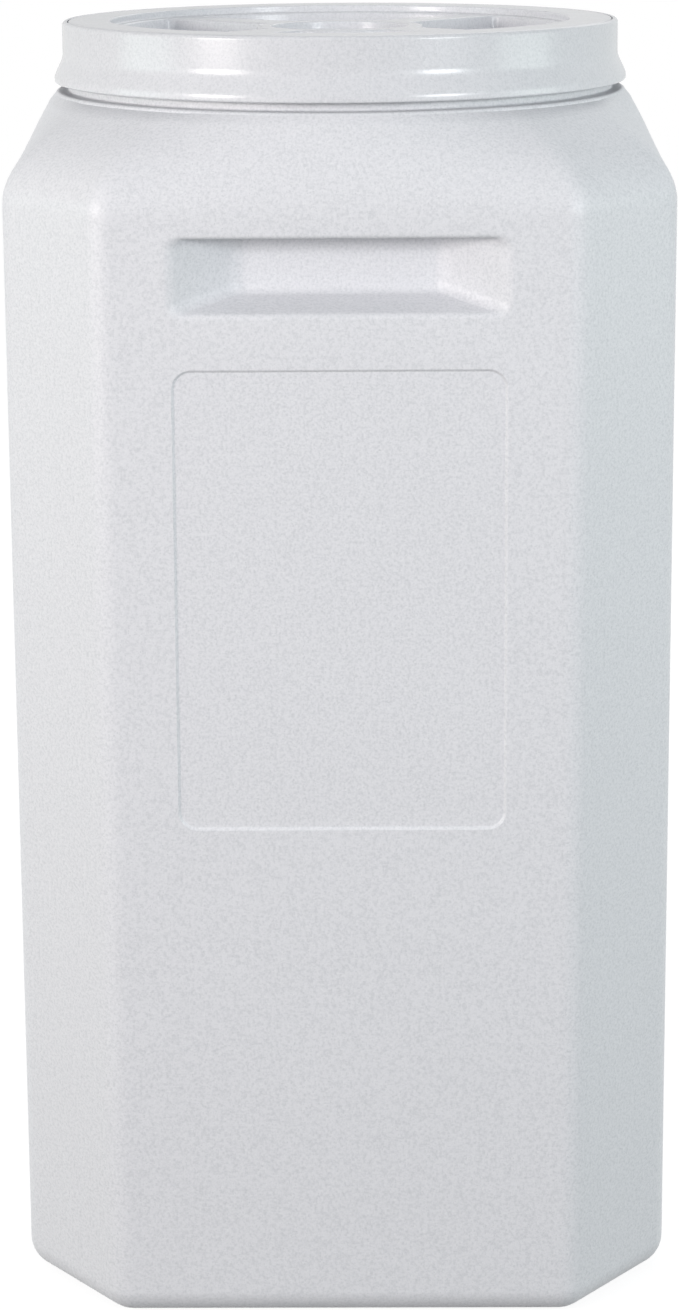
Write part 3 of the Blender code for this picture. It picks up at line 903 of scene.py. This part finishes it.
def floor_material(stage):
    """A pale floor that keeps the bin's shadow and reads as white to the camera."""
    material, nodes, links, shader = new_material("pale_floor")
    output = nodes["Material Output"]
    shader.inputs["Roughness"].default_value = 0.9
    where = nodes.new("ShaderNodeTexCoord").outputs["Object"]
    grain = noise(nodes, links, where, 60.0, 3.0)
    pale = [c * 0.98 for c in stage.floor_colour]
    links.new(mix(nodes, links, grain.outputs["Fac"], stage.floor_colour, pale), shader.inputs["Base Color"])
    path = nodes.new("ShaderNodeLightPath")
    seen = nodes.new("ShaderNodeMath")
    seen.operation = "MAXIMUM"
    links.new(path.outputs["Is Camera Ray"], seen.inputs[0])
    links.new(path.outputs["Is Transmission Ray"], seen.inputs[1])
    seen_or_mirrored = nodes.new("ShaderNodeMath")
    seen_or_mirrored.operation = "MAXIMUM"
    links.new(seen.outputs["Value"], seen_or_mirrored.inputs[0])
    links.new(path.outputs["Is Glossy Ray"], seen_or_mirrored.inputs[1])
    strength = nodes.new("ShaderNodeMath")
    strength.operation = "MULTIPLY"
    strength.inputs[1].default_value = stage.floor_glow
    links.new(seen_or_mirrored.outputs["Value"], strength.inputs[0])
    glow = nodes.new("ShaderNodeEmission")
    links.new(strength.outputs["Value"], glow.inputs["Strength"])
    both = nodes.new("ShaderNodeAddShader")
    links.new(shader.outputs["BSDF"], both.inputs[0])
    links.new(glow.outputs["Emission"], both.inputs[1])
    links.new(both.outputs["Shader"], output.inputs["Surface"])
    return material


def studio_world(stage):
    """Soft surroundings as light, white to the camera and nearly so in reflections."""
    world = bpy.data.worlds.new("studio")
    world.use_nodes = True
    nodes, links = world.node_tree.nodes, world.node_tree.links
    light = nodes["Background"]
    light.inputs["Color"].default_value = (*stage.ambient_tint, 1.0)
    light.inputs["Strength"].default_value = stage.ambient
    path = nodes.new("ShaderNodeLightPath")
    level = nodes.new("ShaderNodeMapRange")
    level.inputs["To Min"].default_value = stage.mirrored
    level.inputs["To Max"].default_value = 1.0
    links.new(path.outputs["Is Camera Ray"], level.inputs["Value"])
    white = nodes.new("ShaderNodeBackground")
    white.inputs["Color"].default_value = (1.0, 1.0, 1.0, 1.0)
    links.new(level.outputs["Result"], white.inputs["Strength"])
    seen = nodes.new("ShaderNodeMath")
    seen.operation = "MAXIMUM"
    links.new(path.outputs["Is Camera Ray"], seen.inputs[0])
    links.new(path.outputs["Is Glossy Ray"], seen.inputs[1])
    choice = nodes.new("ShaderNodeMixShader")
    links.new(seen.outputs["Value"], choice.inputs["Fac"])
    links.new(light.outputs["Background"], choice.inputs[1])
    links.new(white.outputs["Background"], choice.inputs[2])
    links.new(choice.outputs["Shader"], nodes["World Output"].inputs["Surface"])
    bpy.context.scene.world = world


class PETBIN_OT_stage(Operator):
    """Builds the floor, the soft lights and the camera"""

    bl_idname = "petbin.stage"
    bl_label = "Stage"

    def execute(self, context):
        scene, stage = context.scene, context.scene.bin_stage
        half = stage.floor_size / 2
        corners = ((-half, -half, 0), (half, -half, 0), (half, half, 0), (-half, half, 0))
        mesh = bpy.data.meshes.new("studio_floor")
        mesh.from_pydata(corners, [], [(0, 1, 2, 3)])
        mesh.materials.append(floor_material(stage))
        floor = bpy.data.objects.new("studio_floor", mesh)
        floor.location.z = -stage.floor_gap
        scene.collection.objects.link(floor)
        studio_world(stage)
        for softbox in SOFTBOXES:
            add_softbox(*softbox, stage)
        scene.view_settings.view_transform = "Standard"
        self.add_camera(scene, stage)
        return {"FINISHED"}

    def add_camera(self, scene, stage):
        data = bpy.data.cameras.new("photo_camera")
        data.sensor_width = SENSOR
        data.lens = stage.focal_pixels * SENSOR / IMAGE_HEIGHT
        data.shift_y = (stage.axis_row - IMAGE_HEIGHT / 2) / IMAGE_HEIGHT
        camera = bpy.data.objects.new("photo_camera", data)
        tilt = Matrix.Rotation(QUARTER - stage.camera_pitch, 4, "X")
        turn = Matrix.Rotation(stage.camera_turn, 4, "Z")
        roll = Matrix.Rotation(stage.camera_roll, 4, "Z")
        place = Matrix.Translation((stage.camera_side, -stage.camera_distance, stage.camera_height))
        camera.matrix_world = place @ turn @ tilt @ roll
        scene.collection.objects.link(camera)
        scene.camera = camera


class PETBIN_PT_panel(Panel):
    """Lists the bin's pieces"""

    bl_idname = "PETBIN_PT_panel"
    bl_label = "Pet food bin"
    bl_space_type = "VIEW_3D"
    bl_region_type = "UI"
    bl_category = "Pet Bin"

    def draw(self, context):
        for operator in OPERATORS:
            self.layout.operator(operator.bl_idname)


GROUPS = {
    "bin_vessel": BinVesselSizes,
    "bin_grip": BinGripSizes,
    "bin_closure": BinClosureSizes,
    "bin_colours": BinColours,
    "bin_stage": BinStage,
}
OPERATORS = (
    PETBIN_OT_stage,
    PETBIN_OT_vessel,
    PETBIN_OT_adapter_ring,
    PETBIN_OT_gaskets,
    PETBIN_OT_spin_lid,
    PETBIN_OT_threads,
)


def register():
    for cls in (*GROUPS.values(), *OPERATORS, PETBIN_PT_panel):
        bpy.utils.register_class(cls)
    for name, cls in GROUPS.items():
        setattr(bpy.types.Scene, name, PointerProperty(type=cls))


def unregister():
    for name in GROUPS:
        delattr(bpy.types.Scene, name)
    for cls in (PETBIN_PT_panel, *reversed(OPERATORS), *reversed(GROUPS.values())):
        bpy.utils.unregister_class(cls)


def main():
    register()
    bpy.ops.petbin.stage()
    bpy.ops.petbin.vessel()
    bpy.ops.petbin.adapter_ring()
    bpy.ops.petbin.gaskets()
    bpy.ops.petbin.spin_lid()
    bpy.ops.petbin.threads()


if __name__ == "__main__":
    main()
